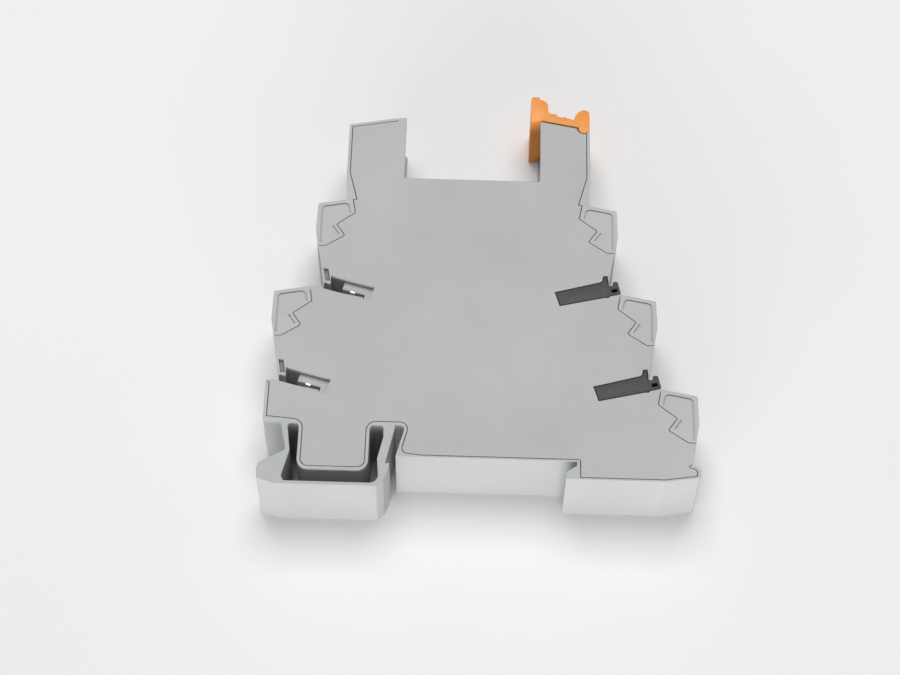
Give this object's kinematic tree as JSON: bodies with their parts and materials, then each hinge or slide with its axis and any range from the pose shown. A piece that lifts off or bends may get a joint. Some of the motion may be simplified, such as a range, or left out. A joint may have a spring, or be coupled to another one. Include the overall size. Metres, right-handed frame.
{
  "type": "relay socket",
  "caption": "Slim rail-mounted relay socket with stepped screw clamps, a relay bay between two prongs, a sprung rail foot and a hinged retaining lever.",
  "frame": {"origin": "on the rail seat, on the 35 mm rail's centre line, halfway through the socket's width", "axes": "+Y away from the rail, +X towards the contact-side clamps along the socket's 80 mm height, +Z towards the cover side; the socket lies on its side on its back wall"},
  "size_m": [0.0798, 0.0879, 0.014],
  "materials": {
    "housing_plastic": "light grey moulded polyamide, satin",
    "lever_plastic": "orange moulded plastic, satin",
    "insert_plastic": "dark grey moulded plastic, satin",
    "contact_metal": "tinned brass sheet",
    "spring_metal": "plated spring sheet",
    "screw_steel": "zinc-plated steel",
    "cage_steel": "zinc-plated steel",
    "board": "glass-fibre board, green lacquer",
    "lens": "clear moulded plastic",
    "component_body": "lacquered resistor body",
    "diode_body": "black moulded body"
  },
  "bodies": {
    "base": {"housing": "housing_plastic", "cover": "housing_plastic", "divider": "housing_plastic", "slot_insert_upper": "insert_plastic", "slot_insert_lower": "insert_plastic", "bridge_contact_upper": "spring_metal", "bridge_contact_lower": "spring_metal", "contact_strip_top_front": "contact_metal", "contact_strip_top_back": "contact_metal", "contact_strip_middle_front": "contact_metal", "contact_strip_middle_back": "contact_metal", "contact_strip_bottom_front": "contact_metal", "contact_strip_bottom_back": "contact_metal", "input_strip_top": "contact_metal", "input_strip_middle": "contact_metal", "coil_contact_front": "contact_metal", "coil_contact_back": "contact_metal", "circuit_board": "board", "indicator_led": "lens", "light_pipe": "lens", "series_resistor": "component_body", "suppressor_diode": "diode_body"},
    "lever": {"relay_lever": "lever_plastic"},
    "screw_contact_top_front": {"screw_contact_top_front": "screw_steel"},
    "cage_contact_top_front": {"cage_contact_top_front": "cage_steel"},
    "screw_contact_top_back": {"screw_contact_top_back": "screw_steel"},
    "cage_contact_top_back": {"cage_contact_top_back": "cage_steel"},
    "screw_contact_middle_front": {"screw_contact_middle_front": "screw_steel"},
    "cage_contact_middle_front": {"cage_contact_middle_front": "cage_steel"},
    "screw_contact_middle_back": {"screw_contact_middle_back": "screw_steel"},
    "cage_contact_middle_back": {"cage_contact_middle_back": "cage_steel"},
    "screw_contact_bottom_front": {"screw_contact_bottom_front": "screw_steel"},
    "cage_contact_bottom_front": {"cage_contact_bottom_front": "cage_steel"},
    "screw_contact_bottom_back": {"screw_contact_bottom_back": "screw_steel"},
    "cage_contact_bottom_back": {"cage_contact_bottom_back": "cage_steel"},
    "screw_coil_top_front": {"screw_coil_top_front": "screw_steel"},
    "cage_coil_top_front": {"cage_coil_top_front": "cage_steel"},
    "screw_coil_top_back": {"screw_coil_top_back": "screw_steel"},
    "cage_coil_top_back": {"cage_coil_top_back": "cage_steel"},
    "screw_coil_middle_front": {"screw_coil_middle_front": "screw_steel"},
    "cage_coil_middle_front": {"cage_coil_middle_front": "cage_steel"},
    "screw_coil_middle_back": {"screw_coil_middle_back": "screw_steel"},
    "cage_coil_middle_back": {"cage_coil_middle_back": "cage_steel"}
  },
  "joints": [
    {"name": "lever_hinge", "type": "hinge", "parent": "base", "child": "lever", "pos_m": [0.01885, 0.07435, 0], "axis": [0, 0, -1], "range_deg": [0, 35]},
    {"name": "turn_contact_top_front", "type": "hinge", "parent": "base", "child": "screw_contact_top_front", "pos_m": [0.02175, 0.05524, 0.0032], "axis": [-0.1908, -0.9816, 0], "range_deg": [0, 1800]},
    {"name": "lift_contact_top_front", "type": "slide", "parent": "base", "child": "cage_contact_top_front", "axis": [0.1908, 0.9816, 0], "range_m": [0, 0.0025]},
    {"name": "turn_contact_top_back", "type": "hinge", "parent": "base", "child": "screw_contact_top_back", "pos_m": [0.02175, 0.05524, -0.0032], "axis": [-0.1908, -0.9816, 0], "range_deg": [0, 1800]},
    {"name": "lift_contact_top_back", "type": "slide", "parent": "base", "child": "cage_contact_top_back", "axis": [0.1908, 0.9816, 0], "range_m": [0, 0.0025]},
    {"name": "turn_contact_middle_front", "type": "hinge", "parent": "base", "child": "screw_contact_middle_front", "pos_m": [0.0289, 0.03499, 0.0032], "axis": [-0.1908, -0.9816, 0], "range_deg": [0, 1800]},
    {"name": "lift_contact_middle_front", "type": "slide", "parent": "base", "child": "cage_contact_middle_front", "axis": [0.1908, 0.9816, 0], "range_m": [0, 0.0025]},
    {"name": "turn_contact_middle_back", "type": "hinge", "parent": "base", "child": "screw_contact_middle_back", "pos_m": [0.0289, 0.03499, -0.0032], "axis": [-0.1908, -0.9816, 0], "range_deg": [0, 1800]},
    {"name": "lift_contact_middle_back", "type": "slide", "parent": "base", "child": "cage_contact_middle_back", "axis": [0.1908, 0.9816, 0], "range_m": [0, 0.0025]},
    {"name": "turn_contact_bottom_front", "type": "hinge", "parent": "base", "child": "screw_contact_bottom_front", "pos_m": [0.03605, 0.01474, 0.0032], "axis": [-0.1908, -0.9816, 0], "range_deg": [0, 1800]},
    {"name": "lift_contact_bottom_front", "type": "slide", "parent": "base", "child": "cage_contact_bottom_front", "axis": [0.1908, 0.9816, 0], "range_m": [0, 0.0025]},
    {"name": "turn_contact_bottom_back", "type": "hinge", "parent": "base", "child": "screw_contact_bottom_back", "pos_m": [0.03605, 0.01474, -0.0032], "axis": [-0.1908, -0.9816, 0], "range_deg": [0, 1800]},
    {"name": "lift_contact_bottom_back", "type": "slide", "parent": "base", "child": "cage_contact_bottom_back", "axis": [0.1908, 0.9816, 0], "range_m": [0, 0.0025]},
    {"name": "turn_coil_top_front", "type": "hinge", "parent": "base", "child": "screw_coil_top_front", "pos_m": [-0.02925, 0.05524, 0.0032], "axis": [0.1908, -0.9816, 0], "range_deg": [0, 1800]},
    {"name": "lift_coil_top_front", "type": "slide", "parent": "base", "child": "cage_coil_top_front", "axis": [-0.1908, 0.9816, 0], "range_m": [0, 0.0025]},
    {"name": "turn_coil_top_back", "type": "hinge", "parent": "base", "child": "screw_coil_top_back", "pos_m": [-0.02925, 0.05524, -0.0032], "axis": [0.1908, -0.9816, 0], "range_deg": [0, 1800]},
    {"name": "lift_coil_top_back", "type": "slide", "parent": "base", "child": "cage_coil_top_back", "axis": [-0.1908, 0.9816, 0], "range_m": [0, 0.0025]},
    {"name": "turn_coil_middle_front", "type": "hinge", "parent": "base", "child": "screw_coil_middle_front", "pos_m": [-0.0364, 0.03499, 0.0032], "axis": [0.1908, -0.9816, 0], "range_deg": [0, 1800]},
    {"name": "lift_coil_middle_front", "type": "slide", "parent": "base", "child": "cage_coil_middle_front", "axis": [-0.1908, 0.9816, 0], "range_m": [0, 0.0025]},
    {"name": "turn_coil_middle_back", "type": "hinge", "parent": "base", "child": "screw_coil_middle_back", "pos_m": [-0.0364, 0.03499, -0.0032], "axis": [0.1908, -0.9816, 0], "range_deg": [0, 1800]},
    {"name": "lift_coil_middle_back", "type": "slide", "parent": "base", "child": "cage_coil_middle_back", "axis": [-0.1908, 0.9816, 0], "range_m": [0, 0.0025]}
  ],
  "couplings": [
    {"joint": "turn_contact_top_front", "follows": "lift_contact_top_front", "rad_per_m": 12566},
    {"joint": "turn_contact_top_back", "follows": "lift_contact_top_back", "rad_per_m": 12566},
    {"joint": "turn_contact_middle_front", "follows": "lift_contact_middle_front", "rad_per_m": 12566},
    {"joint": "turn_contact_middle_back", "follows": "lift_contact_middle_back", "rad_per_m": 12566},
    {"joint": "turn_contact_bottom_front", "follows": "lift_contact_bottom_front", "rad_per_m": 12566},
    {"joint": "turn_contact_bottom_back", "follows": "lift_contact_bottom_back", "rad_per_m": 12566},
    {"joint": "turn_coil_top_front", "follows": "lift_coil_top_front", "rad_per_m": 12566},
    {"joint": "turn_coil_top_back", "follows": "lift_coil_top_back", "rad_per_m": 12566},
    {"joint": "turn_coil_middle_front", "follows": "lift_coil_middle_front", "rad_per_m": 12566},
    {"joint": "turn_coil_middle_back", "follows": "lift_coil_middle_back", "rad_per_m": 12566}
  ]
}
